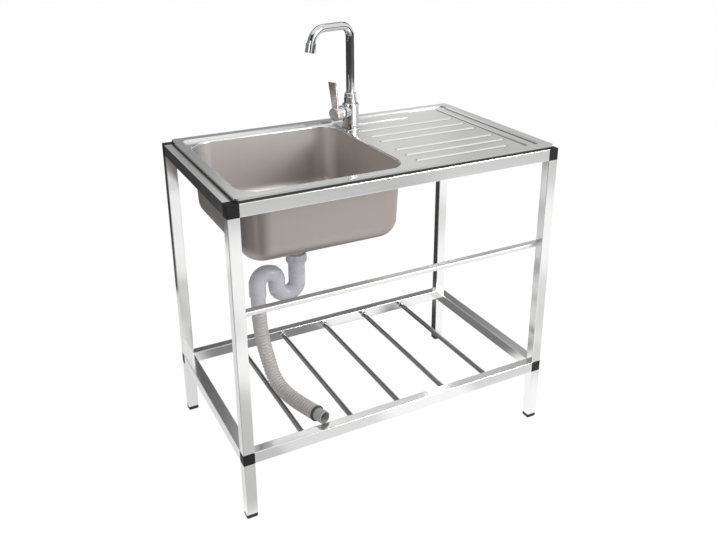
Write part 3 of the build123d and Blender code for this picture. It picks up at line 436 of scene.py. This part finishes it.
# painted shade: the darker colour of the bowl's outside
outside_painted_shade_colour = blend_colours(bowl_marks, rgb(0.44, 0.395, 0.375), rgb(0.48, 0.435, 0.41))
bowl_walls_with_painted_shade = blend_colours(painted_shade_outside, bowl_tone_with_painted_shade, outside_painted_shade_colour)
feed(
    surface,
    Base_Color=blend_colours(in_bowl, deck_colour, bowl_walls_with_painted_shade),
    Metallic=1.0,
    Roughness=0.10 + 0.07 * marks + 0.05 * patches + 0.29 * in_bowl,
    Normal=relief(marks, 0.03, 0.0001),
)
paint(steel, "sink_top")

# ---- Seal strip -----------------------------------------------------------------------------
# Dark foam rubber strip between the top's hem and the rails, which keeps the sheet from
# drumming. Its black is partly painted shade: it stands in for the shadow in the gap under the
# rim, and shows as a thin black line there.
seal, place, surface = new_finish("seal_rubber")
foam = grain(place, even, 700.0)
feed(
    surface,
    Base_Color=blend_colours(foam, rgb(0.012, 0.012, 0.012), rgb(0.035, 0.035, 0.035)),
    Roughness=0.7 + 0.15 * foam,
    Normal=relief(foam, 0.4, 0.0003),
)
# painted shade in part: the strip's black gives the shadow in the gap under the rim
paint(seal, "rim_seal")

# ---- Strainer -------------------------------------------------------------------------------
# Polished stainless flange and basket. A plastic ring nut clamps the flange in the bowl's
# recess, with a rubber gasket under the sheet.
polished, place, surface = new_finish("polished_stainless")
buffed = grain(place, even, 180.0)
feed(
    surface,
    Base_Color=blend_colours(buffed, rgb(0.66, 0.66, 0.66), rgb(0.76, 0.76, 0.76)),
    Metallic=1.0,
    Roughness=0.10 + 0.10 * buffed,
)
paint(polished, "strainer_body", "strainer_basket")
paint(seal, "strainer_gasket")

# ---- Trap -----------------------------------------------------------------------------------
# Blow-moulded polypropylene in a cool light grey, the two halves of its mould showing as a seam.
# Ribbed union nuts and a beaded collar hold it to the strainer and the hose. The strainer's ring
# nut is the same plastic.
trap_plastic, place, surface = new_finish("trap_plastic")
flow = grain(place, (20.0, 20.0, 45.0))
speck = grain(place, even, 1100.0)
feed(
    surface,
    Base_Color=blend_colours(flow, rgb(0.55, 0.545, 0.60), rgb(0.65, 0.645, 0.70)),
    Roughness=0.22 + 0.12 * flow,
    Normal=relief(speck + 0.5 * flow, 0.2, 0.0003),
)
paint(trap_plastic, "trap_bend", "slip_nuts", "hose_collar", "tailpiece", "strainer_locknut")

# ---- Tap body and spout ---------------------------------------------------------------------
# Cast brass, ground and chromium plated; the bent spout is drawn tube, held by a swivel nut.
# A rubber gasket lies between the body and the sink top.
chrome, place, surface = new_finish("tap_chrome")
haze = grain(place, even, 40.0)
feed(
    surface,
    Base_Color=blend_colours(haze, rgb(0.62, 0.63, 0.64), rgb(0.70, 0.71, 0.72)),
    Metallic=1.0,
    Roughness=0.05 + 0.05 * haze,
    Normal=relief(haze, 0.02, 0.0002),
)
paint(chrome, "faucet_body", "spout", "spout_collar", "aerator", "cartridge_cap")
paint(seal, "faucet_gasket")

# ---- Lever ----------------------------------------------------------------------------------
# Die-cast lever with a satin nickel finish, rubbed along its length. Its round hub goes over
# the cap of the tap's side housing, and its square socket sits on a brass stem.
lever_metal, place, surface = new_finish("lever_satin_nickel")
rubbed = grain(place, (300.0, 300.0, 12.0))
feed(
    surface,
    Base_Color=blend_colours(rubbed, rgb(0.70, 0.675, 0.645), rgb(0.82, 0.79, 0.755)),
    Metallic=1.0,
    Roughness=0.22 + 0.12 * rubbed,
    Normal=relief(rubbed, 0.04, 0.0001),
)
paint(lever_metal, "handle")

# ---- Tap fixings and cartridge --------------------------------------------------------------
# Under the sink top the tap's shank is held by a turned brass nut on a zinc-plated steel washer.
# The lever's stem is brass too. It tilts on a pin in a turning cartridge of white plastic.
brass, place, surface = new_finish("turned_brass")
turned = grain(place, (40.0, 40.0, 900.0))
feed(
    surface,
    Base_Color=blend_colours(turned, rgb(0.58, 0.43, 0.18), rgb(0.72, 0.57, 0.30)),
    Metallic=1.0,
    Roughness=0.25 + 0.15 * turned,
    Normal=relief(turned, 0.08, 0.0001),
)
paint(brass, "clamp_nut", "handle_stem")
paint(zinc, "clamp_washer")

cartridge, place, surface = new_finish("cartridge_plastic")
moulded = grain(place, even, 500.0)
feed(
    surface,
    Base_Color=blend_colours(moulded, rgb(0.66, 0.66, 0.64), rgb(0.76, 0.76, 0.74)),
    Roughness=0.40 + 0.1 * moulded,
    Normal=relief(moulded, 0.1, 0.0002),
)
paint(cartridge, "cartridge_turret")


# ---- Floor ----------------------------------------------------------------------------------
# A pale floor that runs out of sight. The camera looks through most of it, so that a foot that
# is screwed out stays in sight. Metal sees it as a white glow with grey and black cards laid
# round the unit, as a product studio has them, and with a painted shadow under the unit.
def within(value, low, high, soft):
    """1 between two limits, 0 outside, with soft edges."""
    rise = value.add("ShaderNodeMapRange", smooth, {0: value, 1: low - soft, 2: low + soft})
    fall = value.add("ShaderNodeMapRange", smooth, {0: value, 1: high - soft, 2: high + soft})
    return rise * (1 - fall)


def turn_of(point):
    """The way of a point or a direction in degrees from +X towards +Y, 0 to 360."""
    turn = point.math("ARCTAN2", coordinate(point, "Y"), coordinate(point, "X"))
    return point.math("MODULO", turn * (180 / math.pi) + 360, 360.0)


def darkened(level, share, target):
    """A level brought towards a target by a share."""
    return level * (1 - share) + target * share


def ray_kinds(place):
    """1 for the camera's rays, for rays off metal and for rays through glass."""
    kinds = ("Is Camera Ray", "Is Glossy Ray", "Is Transmission Ray")
    return [place.add("ShaderNodeLightPath", output=kind) for kind in kinds]


floor_reach = 30.0
floor_drop = 0.0005        # so that the feet's soles stand clear of its plane
floor_mesh = bpy.data.meshes.new("floor")
floor_mesh.from_pydata(
    [(x * floor_reach, y * floor_reach, 0.0) for x, y in ((-1, -1), (1, -1), (1, 1), (-1, 1))],
    [], [(0, 1, 2, 3)],
)
floor = bpy.data.objects.new("floor", floor_mesh)
floor.location.z = -floor_drop
bpy.context.scene.collection.objects.link(floor)
floor_paint, place, surface = new_finish("pale_floor")
mottle = grain(place, even, 2.0)
feed(
    surface,
    Base_Color=blend_colours(mottle, rgb(0.86, 0.86, 0.86), rgb(0.90, 0.90, 0.90)),
    Roughness=0.8,
    Specular_IOR_Level=0.1,
)

right_of, behind = coordinate(place, "X"), coordinate(place, "Y")
turn, away = turn_of(place), vector_math("LENGTH", place, output="Value")


def with_patches(level, patches):
    """Oblong cards laid square to the unit, one over the other; one is a painted shadow under the
    unit.
    """
    soft_x, soft_y = 0.03, 0.04
    for left, right, front, back, target in patches:
        share = within(right_of, left, right, soft_x) * within(behind, front, back, soft_y)
        level = darkened(level, share, target)
    return level


cards_and_painted_shadow = with_patches(1.0, [
    # from, to in X, from, to in Y (metres), level
    (-1.20, 0.12, -0.20, 1.10, 0.74),
    (-0.46, -0.24, -0.80, -0.28, 0.54),
    (-0.26, 0.05, -0.60, -0.42, 0.74),
    (0.35, 0.72, -0.62, -0.42, 0.68),
    # painted shadow: the floor under the unit, which the unit shades, darkened as metal sees it
    (-0.31, 0.12, -0.25, 0.05, 0.20),
    (-9.00, -0.47, -9.00, -0.34, 0.10),
    (-0.74, 0.30, 1.00, 9.00, 0.02),
    (0.10, 0.42, 0.30, 9.00, 0.04),
    (-9.00, -1.22, -0.30, 4.00, 0.08),
])

# a black card with a slanting front edge, then a dark grey strip on it, which runs back from
# under the drainer
out_of_sight = 90.0
slant_slope, slant_front, slant_right = 1.1, 0.36, 0.42
slant_soft, slant_level = 0.05, 0.02
slant = behind + slant_slope * right_of
share = within(slant, slant_front, out_of_sight, slant_soft)
share = share * within(right_of, -out_of_sight, slant_right, slant_soft)
cards_and_painted_shadow = darkened(cards_and_painted_shadow, share, slant_level)
cards_and_painted_shadow = with_patches(cards_and_painted_shadow, [(0.12, 0.27, 0.03, 0.58, 0.18)])

floor_rings = [
    # from, to (degrees), near, far (metres), level
    (312, 330, 0.95, 1.45, 0.70),
    (262, 325, 2.45, 3.40, 0.60),
    (262, 302, 2.02, 2.75, 0.46),
    (182, 262, 1.10, 2.50, 0.38),
    (182, 262, 2.50, 4.40, 0.12),
    (262, 330, 3.40, 4.30, 0.60),
    (-9, 298, 4.30, 99.0, 0.05),
    (320, 369, 4.30, 99.0, 0.05),
    (296, 322, 4.30, 99.0, 0.20),
]
ring_soft_turn, ring_soft_away = 3.0, 0.06
for start, stop, near, far, target in floor_rings:
    share = within(turn, start, stop, ring_soft_turn) * within(away, near, far, ring_soft_away)
    cards_and_painted_shadow = darkened(cards_and_painted_shadow, share, target)

glow_share, clear_share = 0.97, 0.90
glow_strength = 1.06
to_camera, to_metal, to_glass = ray_kinds(place)
card_colour = blend_colours(cards_and_painted_shadow, rgb(0, 0, 0), rgb(1, 1, 1))
glow = place.add("ShaderNodeEmission", None, {"Color": card_colour, "Strength": glow_strength})
clear = place.add("ShaderNodeBsdfTransparent")
share = to_metal * glow_share
layers = share.add("ShaderNodeMixShader", None, {0: share, 1: Tone(surface.outputs[0]), 2: glow})
share = (to_camera + to_glass) * clear_share
layers = share.add("ShaderNodeMixShader", None, {0: share, 1: layers, 2: clear})
feed(floor_paint.node_tree.nodes["Material Output"], Surface=layers)
floor_mesh.materials.append(floor_paint)


# ---- Lamps ----------------------------------------------------------------------------------
# Two broad soft boxes: the key in front on the right, and a weak fill on the left. The white
# room gives the rest of the light.
def soft_lamp(name, at, aim, size, power):
    """A square soft box at a place, turned towards a point."""
    light = bpy.data.lights.new(name, "AREA")
    light.shape = "SQUARE"
    light.size = size
    light.energy = power
    lamp = bpy.data.objects.new(name, light)
    lamp.location = at
    lamp.rotation_euler = (Vector(aim) - Vector(at)).to_track_quat("-Z", "Y").to_euler()
    bpy.context.scene.collection.objects.link(lamp)


soft_lamp("key_lamp", at=(1.9, -2.9, 2.3), aim=(0.0, 0.0, 0.6), size=1.4, power=74.0)
soft_lamp("fill_lamp", at=(-2.7, -1.7, 1.6), aim=(0.0, 0.0, 0.7), size=1.3, power=11.0)

# ---- Room -----------------------------------------------------------------------------------
# An even white room, which the camera sees as its background. Metal sees it white too, with
# grey and black cards on the walls and a bright ceiling.
world = bpy.data.worlds.new("room")
world.use_nodes = True
bpy.context.scene.world = world
room = world.node_tree
look = Tone(room.nodes.new("ShaderNodeTexCoord").outputs["Generated"])
turn, up = turn_of(look), coordinate(look, "Z")
room_cards = [
    # from, to (degrees), low, high (rise of the direction), soft edge of the rise, level
    (20, 64, -1.0, 0.75, 0.05, 0.78),
    (20, 56, -1.0, 0.75, 0.05, 0.62),
    (12, 47, 0.30, 0.70, 0.05, 0.12),
    (63, 106, 0.05, 0.312, 0.012, 0.28),
    (73, 106, 0.05, 0.37, 0.02, 0.34),
    (46, 84, 0.40, 0.505, 0.012, 0.06),
    (61, 84, 0.40, 0.54, 0.015, 0.04),
    (72, 106, 0.45, 0.75, 0.02, 0.08),
    (104, 140, -1.0, 0.27, 0.05, 0.15),
    (104, 112, -1.0, 0.75, 0.05, 0.15),
    (125, 178, -1.0, 0.75, 0.05, 0.25),
    (182, 258, -1.0, 0.80, 0.05, 0.06),
    (297, 306, 0.30, 0.78, 0.05, 0.30),
]
card_soft_turn = 2.0
walls = 1.0
for start, stop, low, high, soft, target in room_cards:
    share = within(turn, start, stop, card_soft_turn) * within(up, low, high, soft)
    walls = darkened(walls, share, target)
ceiling_from, overhead, ceiling_soft, ceiling_level = 0.78, 2.0, 0.06, 1.05
walls = darkened(walls, within(up, ceiling_from, overhead, ceiling_soft), ceiling_level)
background_level = 1.07
room_light = 0.36
to_camera, to_metal, to_glass = ray_kinds(look)
level = background_level * (to_camera + to_glass) + to_metal * walls
level = level + (1 - to_camera) * (1 - to_glass) * (1 - to_metal) * room_light
feed(room.nodes["Background"], Color=rgb(1, 1, 1), Strength=level)
